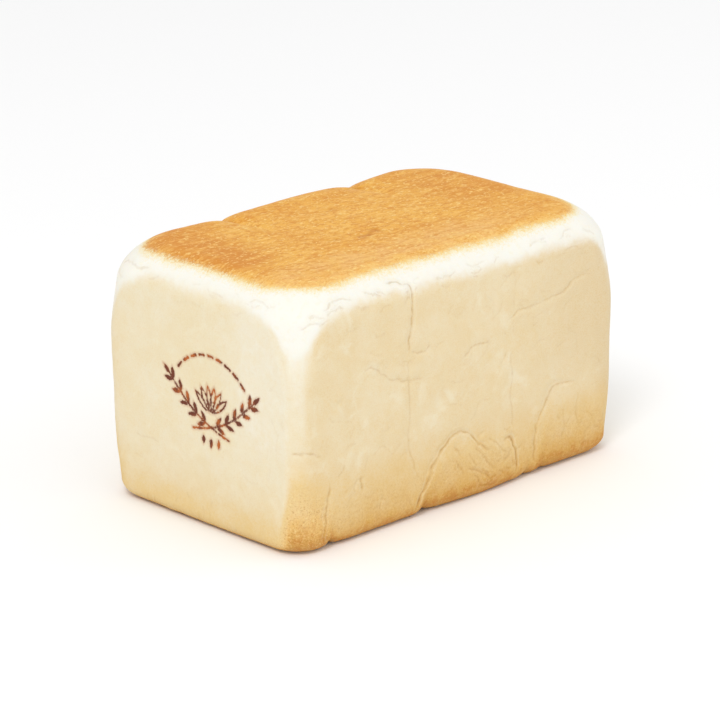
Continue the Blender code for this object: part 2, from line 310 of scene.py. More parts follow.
def fold_relief(uv, folds, wobble, seed):
    """Height in mm and stain of a face's folds at its points uv (mm), then the signed distance to the
    nearest fold line, how dark that line is, and how near the fine mesh has to follow it."""
    depth_all = np.zeros(len(uv))
    stain_all = np.zeros(len(uv))
    line_all = np.full(len(uv), 3.0)
    ink_all = np.zeros(len(uv))
    reach_all = np.full(len(uv), 1e9)
    for k, (stops, depth, wide, lap, stain) in enumerate(folds):
        d, side, share = along(uv + wobble, stops)
        taper = smooth(np.minimum(share, 1 - share) / 0.14 + 0.25)
        w = 1.2 * wide * (0.85 + 0.35 * np.sin(share * 9 + k * 2.1))
        breaks = 0.70 + 0.30 * np.sin(share * 31 + k * 4.7) * np.sin(share * 17 + k * 1.9)
        groove = (0.72 * np.exp(-((d / w) ** 2)) + 0.28 * np.exp(-((d / (2.6 * w)) ** 2))) * depth * taper * breaks
        lips = np.exp(-(((d - 2.3 * w) / (1.4 * w)) ** 2)) * depth * 0.34 * taper
        ease = np.exp(-np.maximum(np.abs(side) - w, 0) / 6.0)
        step = lap * np.where(side > 0, 1.0, 0.0) * smooth(np.abs(side) / w) * ease * taper
        depth_all += -groove + lips + step * smooth(np.minimum(share, 1 - share) / 0.2)
        stain_all = np.maximum(stain_all, stain * taper * breaks * np.exp(-((d / (0.80 * w)) ** 2)))
        ink = stain * taper * breaks * np.exp(-((d / 1.5) ** 2))
        line_all = np.where(ink > ink_all, side, line_all)
        ink_all = np.maximum(ink_all, ink)
        reach_all = np.minimum(reach_all, np.where(depth > 0.2, d, d + 1.2))
    return depth_all, stain_all, line_all, ink_all, reach_all


# ---------------------------------------------------------------- valleys between the dough pieces
# x of the valley, its depth, and how far its -X and +X flanks run, in mm
FAR_TOP_VALLEYS = ((-35.5, 1.75, 6.5, 2.9), (38.0, 2.2, 6.0, 9.0), (85.0, 0.55, 1.0, 1.2))
NEAR_TOP_VALLEYS = ((-31.0, 0.5, 5.0, 5.0), (31.0, 0.45, 6.0, 6.0))
NEAR_BASE_VALLEYS = ((-74.0, 1.5, 1.5, 2.8), (-21.0, 1.9, 1.5, 3.4), (40.0, 1.0, 1.4, 1.2), (50.0, 1.0, 1.2, 1.8))
FAR_BASE_VALLEYS = ((-33.0, 1.8, 3.4, 2.2), (37.0, 1.6, 2.2, 3.4), (70.0, 0.9, 1.6, 1.6))
SWELLS = ((-1, 12.0, 36.0, 0.85), (1, 3.0, 33.0, 0.35), (1, -65.0, 23.0, 0.25))
LAPS = (   # side, -X and +X foot, crown height, how far it stands proud
    (-1, -27.0, 31.0, 31.0, 0.55), (-1, 44.0, 90.0, 39.0, 0.50),
    (1, -31.0, 12.0, 28.0, 0.55), (1, 38.0, 78.0, 34.0, 0.50),
)


def cusp(d, minus, plus, soft=0.6):
    return np.exp(-(np.sqrt(d**2 + soft**2) - soft) / np.where(d < 0, minus, plus))


def masks(p, n):
    """How much each point belongs to each face of the block."""
    near = smooth((-n[:, 1] - 0.15) / 0.5)
    far = smooth((n[:, 1] - 0.15) / 0.5)
    mark = smooth((-n[:, 0] - 0.15) / 0.5)
    plain = smooth((n[:, 0] - 0.15) / 0.5)
    over = smooth((n[:, 2] - 0.30) / 0.55)
    under = smooth((-n[:, 2] - 0.30) / 0.55)
    return near, far, mark, plain, over, under


def relief(p, n):
    """Height of the real crust over the plain block in mm, with the stain of its folds and the
    distance to the nearest of them."""
    x, y, z = p[:, 0] / MM, p[:, 1] / MM, p[:, 2] / MM
    near, far, mark, plain, over, under = masks(p, n)
    d = np.zeros(len(p))
    front, back = smooth(-y / 20), smooth(y / 20)
    low = smooth((30 - z) / 26) * (1 - under * smooth((46.9 - np.abs(y)) / 10))
    roll = smooth((z - 77) / 30) * smooth((np.abs(y) - 10) / 34)
    for x0, depth, minus, plus in FAR_TOP_VALLEYS:
        d -= depth * cusp(x - x0 + 0.8 * np.sin(z / 9), minus, plus) * back * roll
    for x0, depth, minus, plus in NEAR_TOP_VALLEYS:
        d -= depth * cusp(x - x0, minus, plus) * front * roll
    for x0, depth, minus, plus in NEAR_BASE_VALLEYS:
        d -= depth * cusp(x - x0 + (z - 2) * 0.10, minus, plus) * front * smooth((17 - z) / 15) * (1 - under * smooth((50 - np.abs(y)) / 8))
    for x0, depth, minus, plus in FAR_BASE_VALLEYS:
        d -= depth * cusp(x - x0, minus, plus) * back * low
    for side, x0, reach, swell in SWELLS:
        d += swell * smooth(1 - np.abs(x - x0) / reach) * np.where(side < 0, front * low, back * roll)
    for side, left, right, crown, proud in LAPS:
        mid, reach = (left + right) / 2, (right - left) / 2
        arch = crown * np.sqrt(np.clip(1 - np.abs((x - mid) / reach) ** 2.4, 0, 1))
        d += proud * smooth((arch - z) / 9) * smooth((z - 1.5) / 10) * (near if side < 0 else far) * (1 - under)
    d -= 0.6 * over * smooth(1 - (x / 85) ** 2) * smooth(1 - (y / 50) ** 2)

    wob = np.stack([noise(p, 0.007, 3) * 0.9 + noise(p, 0.0026, 4) * 0.6, noise(p, 0.007, 5) * 0.9 + noise(p, 0.0026, 6) * 0.6], 1)
    stain = np.zeros(len(p))
    line = np.full(len(p), 3.0)
    ink = np.zeros(len(p))
    reach = np.full(len(p), 1e9)
    for uv, folds, m, seed in (
        (np.stack([x, z], 1), NEAR_FOLDS, near, 1),
        (np.stack([x, z], 1), FAR_FOLDS, far, 2),
        (np.stack([y, z], 1), MARK_END_FOLDS, mark, 3),
        (np.stack([y, z], 1), PLAIN_END_FOLDS, plain, 4),
        (np.stack([x, y], 1), TOP_FOLDS, over, 5),
        (np.stack([x, y], 1), BASE_FOLDS, under, 6),
    ):
        h, s, l, k, r = fold_relief(uv, folds, wob, seed)
        d += h * m
        stain = np.maximum(stain, s * m)
        line = np.where(k * m > ink, l, line)
        ink = np.maximum(ink, k * m)
        reach = np.minimum(reach, np.where(m > 0.02, r, 1e9))

    # slow unevenness, soft lumps, then the fine skin of the crust
    flat_base = smooth((-n[:, 2] - 0.9) / 0.09)
    skin = 1 - 0.6 * over
    wave = 0.16 * noise(p, 0.034, 11) + 0.13 * noise(p, 0.015, 12) + 0.09 * noise(p, 0.0068, 13) * skin
    pucker = noise(p, 0.0046, 14) * noise(p, 0.0105, 15)
    wave = wave + 0.10 * pucker * skin + 0.03 * noise(p, 0.0031, 16)
    rim = smooth((n[:, 2] - 0.12) / 0.3) * smooth((0.93 - n[:, 2]) / 0.2)
    wave = wave + rim * 0.06 * (1 - np.abs(noise(p, 0.006, 17, (1.6, 1.6, 0.8)))) ** 4
    band = smooth((z - 88) / 6) * smooth((107 - z) / 5) * (near + far + 0.35 * (mark + plain))
    crumple = (1 - np.abs(noise(p, 0.0060, 21, (1.9, 1.9, 0.7)))) ** 6 * smooth(noise(p, 0.021, 22) + 0.55)
    foot = smooth((30 - z) / 14) * (near + far)
    pinch = (1 - np.abs(noise(p, 0.0052, 23, (1.2, 1.2, 1.5)))) ** 6 * smooth(noise(p, 0.019, 24) + 0.4)
    wave = wave - 0.16 * band * crumple - 0.15 * foot * pinch
    d += wave * (1 - flat_base)
    d -= flat_base * np.abs(0.05 * noise(p, 0.006, 18) + 0.04 * noise(p, 0.013, 19))
    return d, {"stain": stain, "line": line, "ink": ink}, reach


# ---------------------------------------------------------------- the burnt mark: two crossed ears of wheat
MARK_Y, MARK_Z, MARK_TILT = -8.0, 56.5, math.radians(-1.5)


def capsule(u, v, x0, y0, x1, y1, r0, r1=None):
    """Signed distance in mm to a stroke from one point to the other, with its two end radii."""
    r1 = r0 if r1 is None else r1
    dx, dy = x1 - x0, y1 - y0
    t = np.clip(((u - x0) * dx + (v - y0) * dy) / (dx * dx + dy * dy), 0, 1)
    return np.hypot(u - x0 - t * dx, v - y0 - t * dy) - (r0 + (r1 - r0) * t)


def grain(u, v, x0, y0, ang, length, fat):
    """Signed distance to a leaf-shaped grain that starts at a point and runs at an angle."""
    c, s = math.cos(ang), math.sin(ang)
    a = (u - x0) * c + (v - y0) * s - length / 2
    b = -(u - x0) * s + (v - y0) * c
    R = (length**2 / 4 + fat**2) / (2 * fat)
    return np.hypot(a, np.abs(b) + R - fat) - R


def mark_distance(u, v):
    """u runs to the right and v up as the mark is read, from its centre, in mm."""
    best = np.full(len(u), 1e9)
    for hand in (-1, 1):
        foot, head = (-hand * 11.0, -14.5), (hand * 25.0, 5.0)
        pts = []
        for t in np.linspace(0, 1, 15):
            sag = math.sin(math.pi * t)
            pts.append((foot[0] + (head[0] - foot[0]) * t + hand * 1.2 * sag, foot[1] + (head[1] - foot[1]) * t - 3.4 * sag))
        for k in range(14):
            best = np.minimum(best, capsule(u, v, *pts[k], *pts[k + 1], 0.42))
        for k in range(5, 15, 2):
            (px, py), (qx, qy) = pts[k], pts[k - 1]
            ang = math.atan2(py - qy, px - qx)
            for turn in (-0.66, 0.66):
                best = np.minimum(best, grain(u, v, px + 0.6 * math.cos(ang + turn), py + 0.6 * math.sin(ang + turn), ang + turn, 5.2, 0.95))
        ang = math.atan2(pts[14][1] - pts[13][1], pts[14][0] - pts[13][0])
        best = np.minimum(best, grain(u, v, *pts[14], ang, 5.6, 0.95))
    # an arch of short strokes over the ears, and three seeds under them
    for k in range(-4, 5):
        a = math.radians(90 + k * 11.5)
        cx, cy, r = 0.0, -7.5, 26.5
        best = np.minimum(best, capsule(
            u, v, cx + r * math.cos(a - 0.055), cy + r * math.sin(a - 0.055),
            cx + r * math.cos(a + 0.055), cy + r * math.sin(a + 0.055), 0.55))
    for k in (-1, 0, 1):
        best = np.minimum(best, grain(u, v, k * 4.6, -20.6 + 0.9 * abs(k), math.pi / 2, 4.0, 0.95))
    for k in range(6):   # a little sheaf of open leaves in the middle
        a = math.radians(90 + (k - 2.5) * 19)
        leaf = grain(u, v, 1.6 * math.cos(a), -6.5 + 1.6 * math.sin(a), a, 11.5, 1.7)
        best = np.minimum(best, np.abs(leaf + 0.4) - 0.36)
    return best


def mark_field(p, n):
    y, z = p[:, 1] / MM, p[:, 2] / MM
    c, s = math.cos(MARK_TILT), math.sin(MARK_TILT)
    u0, v0 = -(y - MARK_Y), z - MARK_Z
    u, v = u0 * c + v0 * s, -u0 * s + v0 * c
    d = mark_distance(u, v)
    return np.where(n[:, 0] < -0.85, np.minimum(d, 6.0), 6.0)


# ---------------------------------------------------------------- the mesh
def ticks(lo, hi, step):
    n = max(2, int(round((hi - lo) / step)))
    return np.linspace(lo, hi, n + 1)


def box_grid(gx, gy, gz):
    index, points, tris = {}, [], []

    def corner(i, j, k):
        key = (i, j, k)
        if key not in index:
            index[key] = len(points)
            points.append((gx[i], gy[j], gz[k]))
        return index[key]

    def quad(a, b, c, d, flip):
        if flip:
            tris.extend([(a, b, c), (a, c, d)])
        else:
            tris.extend([(a, b, d), (b, c, d)])

    nx, ny, nz = len(gx) - 1, len(gy) - 1, len(gz) - 1
    for i in range(nx):
        for j in range(ny):
            quad(corner(i, j, 0), corner(i, j + 1, 0), corner(i + 1, j + 1, 0), corner(i + 1, j, 0), (i + j) % 2)
            quad(corner(i, j, nz), corner(i + 1, j, nz), corner(i + 1, j + 1, nz), corner(i, j + 1, nz), (i + j) % 2)
    for i in range(nx):
        for k in range(nz):
            quad(corner(i, 0, k), corner(i + 1, 0, k), corner(i + 1, 0, k + 1), corner(i, 0, k + 1), (i + k) % 2)
            quad(corner(i, ny, k), corner(i, ny, k + 1), corner(i + 1, ny, k + 1), corner(i + 1, ny, k), (i + k) % 2)
    for j in range(ny):
        for k in range(nz):
            quad(corner(0, j, k), corner(0, j, k + 1), corner(0, j + 1, k + 1), corner(0, j + 1, k), (j + k) % 2)
            quad(corner(nx, j, k), corner(nx, j + 1, k), corner(nx, j + 1, k + 1), corner(nx, j, k + 1), (j + k) % 2)
    return np.array(points), np.array(tris)


def refine(points, tris, chosen):
    """Splits the chosen triangles in four and closes the ring around them with halves and thirds."""
    edges = {}
    extra = []

    def mid(a, b):
        key = (a, b) if a < b else (b, a)
        if key not in edges:
            edges[key] = len(points) + len(extra)
            extra.append((points[a] + points[b]) / 2)
        return edges[key]

    for a, b, c in tris[chosen]:
        mid(a, b), mid(b, c), mid(c, a)
    out = []
    for a, b, c in tris.tolist():
        ab = edges.get((a, b) if a < b else (b, a))
        bc = edges.get((b, c) if b < c else (c, b))
        ca = edges.get((c, a) if c < a else (a, c))
        n = (ab is not None) + (bc is not None) + (ca is not None)
        if n == 0:
            out.append((a, b, c))
            continue
        if n == 3:
            out += [(a, ab, ca), (ab, b, bc), (ca, bc, c), (ab, bc, ca)]
            continue
        while (ab is None) or (n == 2 and bc is None):
            a, b, c, ab, bc, ca = b, c, a, bc, ca, ab
        if n == 1:
            out += [(a, ab, c), (ab, b, c)]
        else:
            out += [(ab, b, bc), (a, ab, bc), (a, bc, c)]
    return np.vstack([points, np.array(extra)]) if extra else points, np.array(out)


def make_loaf():
    a, b = LENGTH / 2, WIDTH / 2
    points, tris = box_grid(ticks(-a, a, GRID), ticks(-b, b, GRID), ticks(0.0, HEIGHT, GRID))
    for k in range(ROUNDS):
        centre = points[tris].mean(1)
        skin = cast(centre)
        n = outward(skin)
        _, _, reach = relief(skin, n)
        mark = mark_field(skin, n)
        hidden = n[:, 2] < -0.8
        if k == 0:
            chosen = ~hidden | (reach < 3.0)
        else:
            chosen = (reach < np.where(hidden | (n[:, 1] > 0.6) | (n[:, 0] > 0.6), 0.9, 1.9)) | (mark < 1.0)
        points, tris = refine(points, tris, chosen)
    skin = cast(points)
    n = outward(skin)
    d, lines, reach = relief(skin, n)
    burn = mark_field(skin, n)
    d -= 0.22 * smooth((0.35 - burn) / 0.7)
    out = skin + n * (d * MM)[:, None]
    out[:, 2] = np.maximum(out[:, 2], 0.0)

    mesh = bpy.data.meshes.new("loaf_crust")
    mesh.vertices.add(len(out))
    mesh.vertices.foreach_set("co", out.astype(np.float32).ravel())
    mesh.loops.add(len(tris) * 3)
    mesh.loops.foreach_set("vertex_index", tris.astype(np.int32).ravel())
    mesh.polygons.add(len(tris))
    mesh.polygons.foreach_set("loop_start", np.arange(0, len(tris) * 3, 3, dtype=np.int32))
    mesh.update(calc_edges=True)
    mesh.validate()
    mesh.shade_smooth()
    fields = crust_fields(skin, n)
    fields.update(lines)
    fields["burn"] = burn
    for name, values in fields.items():
        mesh.attributes.new(name, "FLOAT", "POINT").data.foreach_set("value", np.asarray(values, np.float32))
    obj = bpy.data.objects.new("loaf_crust", mesh)
    bpy.context.scene.collection.objects.link(obj)
    print("loaf_crust triangles", len(tris))
    return obj


def crust_fields(p, n):
    """Slow fields that the material mixes its browns and creams by."""
    x, y, z = p[:, 0] / MM, p[:, 1] / MM, p[:, 2] / MM
    near, far, mark, plain, over, under = masks(p, n)
    warp = 1.6 * noise(p, 0.018, 31) + 0.7 * noise(p, 0.007, 32)
    # toast: mm inside the edge of the lid's brown patch, from the block's outline at the top
    a, b = LENGTH / 2 / MM, (WIDTH / 2 + FLARE / 4) / MM
    r = 29.0
    qx, qy = np.abs(x) - (a - r), np.abs(y) - (b - r)
    edge = -(np.minimum(np.maximum(qx, qy), 0) + np.hypot(np.maximum(qx, 0), np.maximum(qy, 0)) - r)
    inset = 7.4 - 5.2 * smooth(y / 40) * smooth((80 - np.abs(x)) / 30)
    inset = inset + 1.4 * smooth((x - 62) / 20) - 0.8 * smooth((-x - 66) / 20) * smooth(y / 30)
    toast = np.minimum(edge - inset + 0.8 * warp, 40.0)
    toast = np.where(z < 92, -20.0, toast)
    # pale: 1 on the rim that never touched the tin, fading down the upright corners
    post = smooth((np.abs(n[:, 0]) * np.abs(n[:, 1]) - 0.12) / 0.36)
    front_post = post * (y < 0) * (x < 0)
    lift = 4.0 * post + 7.0 * smooth((np.abs(x) - 66) / 30) * (near + far) + 8.0 * smooth((np.abs(y) - 24) / 30) * (mark + plain)
    line = 100.0 - lift + 1.5 * mark - 4.0 * far * (1 - smooth((np.abs(x) - 46) / 24))
    rim = smooth((z - line + 0.9 * warp) / (10.0 + 7.0 * post) + 0.5)
    narrow = smooth((np.abs(n[:, 0]) * np.abs(n[:, 1]) - 0.20) / 0.28)
    near_strip = 0.26 * smooth((z - 40) / 20) + 0.26 * smooth((z - 66) / 22)
    strip = np.where(front_post > 0, narrow * near_strip, post * smooth((z - 62) / 34) * 0.6)
    strip = np.maximum(strip, 0.34 * mark * (1 - 0.5 * post) * smooth((-y - 12) / 20) * smooth((z - 24) / 30))
    pale = np.maximum(rim, strip)
    pale = pale * (1 - 0.30 * smooth((y - 36) / 18) * smooth((-x - 70) / 20)) * (1 - 0.16 * smooth((x - 78) / 12) * near)
    # gold: the browner foot of the loaf
    gold_near = np.clip((40 + 2.0 * warp - z) / 40, 0, 1) ** 1.35
    gold_end = 0.28 * np.clip((20 + 1.4 * warp - z) / 20, 0, 1) ** 1.5 + 0.55 * smooth((5.5 + 0.5 * warp - z) / 5.5) + 0.35 * smooth((2.6 - z) / 2.6) + 0.16 * smooth((40 - z) / 34) + 0.12 * smooth((y - 42) / 14) * smooth((100 - z) / 30)
    gold_plain = np.clip((26 + 1.6 * warp - z) / 26, 0, 1) ** 1.3
    w = near + far + mark + plain + 1e-6
    gold = (gold_near * (near + far) + gold_end * mark + gold_plain * plain) / w
    lobe = 0.0
    for side, left, right, crown in ((-1, -26, 31, 30), (-1, 44, 90, 37), (1, -30, 12, 27), (1, 38, 78, 33)):
        mid, reach = (left + right) / 2, (right - left) / 2
        arch = crown * np.sqrt(np.clip(1 - np.abs((x - mid) / reach) ** 2.6, 0, 1))
        lobe = np.maximum(lobe, smooth((arch - z) / 12) * (near if side < 0 else far))
    gold = gold + 0.13 * lobe * smooth((44 - z) / 24)
    corner = smooth((-x - 72) / 22) * smooth(-y / 20) * smooth((60 - z) / 50) * (near + 0.4 * post)
    gold = np.clip(gold + 0.25 * corner + 0.09 * post * smooth((56 - z) / 46), 0, 1)
    bright = smooth((-x - 62) / 26) * smooth((-y - 30) / 18)
    gold = np.maximum(gold, under)
    # tan: a slightly warmer cast on the far half of the long sides
    tan = smooth((x - 20) / 60) * smooth((z - 20) / 40) * (near + far) * 0.8 + smooth((x - 76) / 14) * near
    endward = np.maximum(smooth((-x - 44) / 34) * smooth((y + 27) / 22), 0.55 * smooth((x - 34) / 26) * smooth(y / 30 + 1.1) * (1 - 0.35 * smooth((y - 24) / 20)))
    endward = (endward - 0.9 * smooth((-y - 14) / 26) * (1 - 0.75 * smooth((x - 10) / 60)) * (1 - endward)) * over
    return {"endward": endward, "toast": toast, "pale": pale, "gold": gold, "tan": np.clip(tan, 0, 1), "endface": mark + plain, "bright": bright}


# ---------------------------------------------------------------- material
def srgb(r, g, b):
    """A colour given as 0-255 screen values, as the linear one that the shader takes."""
    def one(c):
        c /= 255.0
        return c / 12.92 if c <= 0.04045 else ((c + 0.055) / 1.055) ** 2.4
    return (one(r), one(g), one(b), 1.0)


LIGHT = 1.12   # how bright the lamps make a plain surface


def paint(r, g, b):
    return tuple(min(c / LIGHT, 0.96) for c in srgb(r, g, b)[:3]) + (1.0,)


COLOURS = {
    "side": paint(240, 221, 180),
    "side_warm": paint(236, 211, 160),
    "end": paint(242, 229, 197),
    "end_warm": paint(239, 220, 176),
    "tan": paint(228, 202, 154),
    "rim": paint(250, 248, 238),
    "rim_warm": paint(249, 241, 216),
    "gold_foot": paint(206, 138, 58),
    "gold_bright": paint(240, 192, 106),
    "gold": paint(224, 176, 86),
    "gold_deep": paint(192, 136, 62),
    "yellow": paint(237, 202, 124),
    "toast": paint(245, 184, 76),
    "toast_pale": paint(247, 194, 118),
    "toast_glow": paint(252, 201, 108),
    "toast_dark": paint(226, 147, 40),
    "toast_deep": paint(206, 116, 16),
    "toast_light": paint(253, 218, 136),
    "toast_edge": paint(251, 229, 166),
    "stain": paint(210, 170, 108),
    "crease": paint(192, 146, 84),
    "crease_pale": paint(192, 166, 112),
    "crease_low": paint(170, 112, 48),
    # pale crust for the random pale patches on the sides, also used for the painted highlight along the fold lips
    "pale_patch_and_lip_highlight": paint(247, 238, 210),
    "burn": paint(106, 36, 3),
    "burn_light": paint(190, 96, 26),
    "dent": paint(206, 128, 34),
}


class Nodes:
    """Short calls to build a material's node graph."""

    def __init__(self, mat):
        mat.use_nodes = True
        self.tree = mat.node_tree
        self.tree.nodes.clear()

    def new(self, kind, **values):
        node = self.tree.nodes.new(kind)
        for key, value in values.items():
            setattr(node, key, value)
        return node

    def link(self, a, b):
        self.tree.links.new(a, b)

    def put(self, socket, value):
        if isinstance(value, bpy.types.NodeSocket):
            self.link(value, socket)
        else:
            socket.default_value = value

    def math(self, op, a, b=0.0, c=0.0, clamp=False):
        node = self.new("ShaderNodeMath", operation=op, use_clamp=clamp)
        for k, v in enumerate((a, b, c)):
            self.put(node.inputs[k], v)
        return node.outputs[0]

    def ramp(self, value, lo, hi, out_lo=0.0, out_hi=1.0):
        node = self.new("ShaderNodeMapRange", interpolation_type="SMOOTHSTEP")
        for k, v in enumerate((value, lo, hi, out_lo, out_hi)):
            self.put(node.inputs[k], v)
        return node.outputs[0]

    def mix(self, factor, a, b, blend="MIX"):
        node = self.new("ShaderNodeMix", data_type="RGBA", blend_type=blend)
        self.put(node.inputs["Factor"], factor)
        self.put(node.inputs[6], a)
        self.put(node.inputs[7], b)
        return node.outputs[2]

    def attr(self, name):
        return self.new("ShaderNodeAttribute", attribute_name=name).outputs["Fac"]

    def place(self, scale=(1, 1, 1), turn=(0, 0, 0)):
        coord = self.new("ShaderNodeTexCoord")
        mapping = self.new("ShaderNodeMapping")
        self.link(coord.outputs["Object"], mapping.inputs["Vector"])
        mapping.inputs["Scale"].default_value = scale
        mapping.inputs["Rotation"].default_value = turn
        return mapping.outputs[0]

    def noise(self, where, scale, detail=3.0, rough=0.55, twist=0.0):
        node = self.new("ShaderNodeTexNoise")
        self.link(where, node.inputs["Vector"])
        node.inputs["Scale"].default_value = scale
        node.inputs["Detail"].default_value = detail
        node.inputs["Roughness"].default_value = rough
        node.inputs["Distortion"].default_value = twist
        return node.outputs["Fac"]


def crust_material():
    mat = bpy.data.materials.new("baked_crust")
    g = Nodes(mat)
    here = g.place()
    toast, pale, gold = g.attr("toast"), g.attr("pale"), g.attr("gold")
    tan, stain, burn = g.attr("tan"), g.attr("stain"), g.attr("burn")
    line_at, ink = g.attr("line"), g.attr("ink")

    broad = g.noise(here, 38, 3)            # patches of 20 to 30 mm
    patch = g.noise(here, 110, 4)           # 8 mm
    mottle = g.noise(here, 330, 4, 0.6)     # 3 mm
    fine = g.noise(here, 900, 4, 0.65)      # 1 mm
    grit = g.noise(here, 2100, 2, 0.6)      # half a millimetre

    # the pale sides
    end = g.attr("endface")
    plain = g.mix(end, COLOURS["side"], COLOURS["end"])
    warm = g.mix(end, COLOURS["side_warm"], COLOURS["end_warm"])
    side = g.mix(g.ramp(patch, 0.34, 0.66, 0.0, 0.62), plain, warm)
    side = g.mix(g.ramp(broad, 0.40, 0.62, 0.0, 0.35), side, warm)
    side = g.mix(g.ramp(mottle, 0.45, 0.72, 0.0, 0.26), side, warm)
    side = g.mix(g.ramp(g.noise(here, 74, 4, 0.6, 0.6), 0.52, 0.74, 0.0, 0.50), side, COLOURS["pale_patch_and_lip_highlight"])
    side = g.mix(g.math("MULTIPLY", tan, 0.75), side, COLOURS["tan"])
    side = g.mix(g.ramp(fine, 0.52, 0.72, 0.0, 0.14), side, COLOURS["gold"])
    side = g.mix(g.ramp(grit, 0.40, 0.62, 0.16, 0.0), side, COLOURS["rim"])

    # the golden foot
    foot = g.math("ADD", gold, g.math("MULTIPLY", g.math("SUBTRACT", patch, 0.5), g.ramp(gold, 0.0, 0.5, 0.0, 0.34)))
    foot = g.math("ADD", foot, g.math("MULTIPLY", g.math("SUBTRACT", fine, 0.5), g.ramp(gold, 0.0, 0.5, 0.0, 0.42)), clamp=True)
    bright = g.attr("bright")
    brown = g.mix(bright, COLOURS["gold"], COLOURS["gold_bright"])
    body = g.mix(g.math("MULTIPLY", foot, 1.0, clamp=True), side, brown)
    mid = g.math("MULTIPLY", g.ramp(foot, 0.05, 0.35), g.ramp(foot, 0.75, 0.40))
    body = g.mix(g.math("MULTIPLY", mid, g.math("ADD", g.math("MULTIPLY", end, 0.22), 0.22)), body, COLOURS["yellow"])
    body = g.mix(g.ramp(foot, 0.84, 1.15), body, COLOURS["gold_deep"])
    toasted = g.math("MULTIPLY", g.ramp(gold, 0.70, 1.0), g.ramp(mottle, 0.42, 0.62, 0.15, 0.75))
    body = g.mix(toasted, body, COLOURS["gold_foot"])
    grain = g.noise(here, 1300, 3, 0.7)
    speck = g.math("MULTIPLY", g.ramp(grain, 0.53, 0.66), g.ramp(gold, 0.14, 0.80))
    body = g.mix(g.math("MULTIPLY", speck, g.ramp(bright, 0.0, 1.0, 0.34, 0.60)), body, COLOURS["gold_deep"])
    light_speck = g.math("MULTIPLY", g.ramp(grain, 0.46, 0.34), g.ramp(gold, 0.12, 0.60))
    body = g.mix(g.math("MULTIPLY", light_speck, g.ramp(bright, 0.0, 1.0, 0.20, 0.50)), body, COLOURS["toast_edge"])

    # the pale rim
    rim_edge = g.math("ADD", pale, g.math("MULTIPLY", g.math("SUBTRACT", mottle, 0.5), g.ramp(pale, 0.0, 0.3, 0.0, 0.55)))
    rim_edge = g.math("ADD", rim_edge, g.math("MULTIPLY", g.math("SUBTRACT", patch, 0.5), g.ramp(pale, 0.0, 0.3, 0.0, 0.60)))
    body = g.mix(g.ramp(rim_edge, 0.0, 1.0), body, COLOURS["rim"])
    body = g.mix(g.math("MULTIPLY", g.ramp(rim_edge, 0.5, 1.0), g.ramp(mottle, 0.50, 0.70, 0.0, 0.35)), body, COLOURS["rim_warm"])

    # folds hold a little more colour, and a thin broken line where they are tight, edged by a painted highlight
    soft_line = g.math("MULTIPLY", stain, g.ramp(fine, 0.36, 0.60, 0.6, 1.0))
    fold_tone = g.mix(g.ramp(gold, 0.3, 0.9), COLOURS["stain"], COLOURS["gold_deep"])
    body = g.mix(g.math("MULTIPLY", soft_line, 0.34), body, fold_tone)
    across = g.math("ABSOLUTE", g.math("ADD", line_at, g.math("MULTIPLY", g.math("SUBTRACT", fine, 0.5), 1.1)))
    tight = g.math("MULTIPLY", g.ramp(across, 0.62, 0.12), ink)
    tight = g.math("MULTIPLY", tight, g.ramp(mottle, 0.34, 0.54, 0.35, 1.0))
    body = g.mix(g.math("MULTIPLY", tight, 0.80, clamp=True), body, g.mix(g.ramp(pale, 0.4, 0.9), g.mix(g.ramp(gold, 0.3, 0.9), COLOURS["crease"], COLOURS["crease_low"]), COLOURS["crease_pale"]))
    # painted highlight: a pale band on both sides of each tight fold line stands in for its lips catching the light
    lip_highlight = g.math("MULTIPLY", g.math("MULTIPLY", g.ramp(across, 0.7, 1.2), g.ramp(across, 2.2, 1.3)), ink)
    body = g.mix(g.math("MULTIPLY", lip_highlight, 0.55, clamp=True), body, COLOURS["pale_patch_and_lip_highlight"])

    # the toasted top: fibrous mottle with pale flecks, and a grainy edge
    fibre = g.noise(g.place((0.80, 1.15, 1.0), (0, 0, 0.6)), 430, 3, 0.62, 0.5)
    fibre2 = g.noise(g.place((0.85, 1.2, 1.0), (0, 0, 0.85)), 560, 3, 0.60, 0.6)
    fibre3 = g.noise(g.place((0.7, 1.3, 1.0), (0, 0, 0.7)), 1150, 2, 0.5, 0.3)
    ends = g.ramp(g.attr("endward"), 0.0, 1.0)
    fronts = g.ramp(g.attr("endward"), 0.0, -0.9)
    wave = g.noise(g.place((0.45, 1.5, 1.0), (0, 0, 0.75)), 150, 4, 0.62, 1.2)
    top = g.mix(g.ramp(broad, 0.38, 0.64, 0.0, 0.30), COLOURS["toast"], COLOURS["toast_dark"])
    top = g.mix(g.math("MULTIPLY", ends, g.ramp(patch, 0.30, 0.58, 0.40, 1.0)), top, COLOURS["toast_dark"])
    top = g.mix(g.math("MULTIPLY", ends, g.ramp(wave, 0.42, 0.66, 0.10, 0.62)), top, COLOURS["toast_deep"])
    top = g.mix(g.math("MULTIPLY", fronts, g.ramp(patch, 0.66, 0.40, 0.25, 0.75)), top, COLOURS["toast_pale"])
    top = g.mix(g.ramp(wave, 0.49, 0.68, 0.0, 0.75), top, COLOURS["toast_dark"])
    top = g.mix(g.ramp(wave, 0.49, 0.33, 0.0, 0.60), top, COLOURS["toast_glow"])
    dim = g.math("SUBTRACT", 1.0, g.math("MULTIPLY", fronts, 0.45))
    top = g.mix(g.math("MULTIPLY", dim, g.ramp(fibre, 0.46, 0.66, 0.0, 0.80)), top, COLOURS["toast_dark"])
    top = g.mix(g.ramp(fibre3, 0.54, 0.72, 0.0, 0.30), top, COLOURS["toast_deep"])
    flecks = g.math("MULTIPLY", g.ramp(fibre2, 0.52, 0.66), g.ramp(fibre3, 0.60, 0.40, 0.30, 1.0))
    top = g.mix(flecks, top, COLOURS["toast_light"])
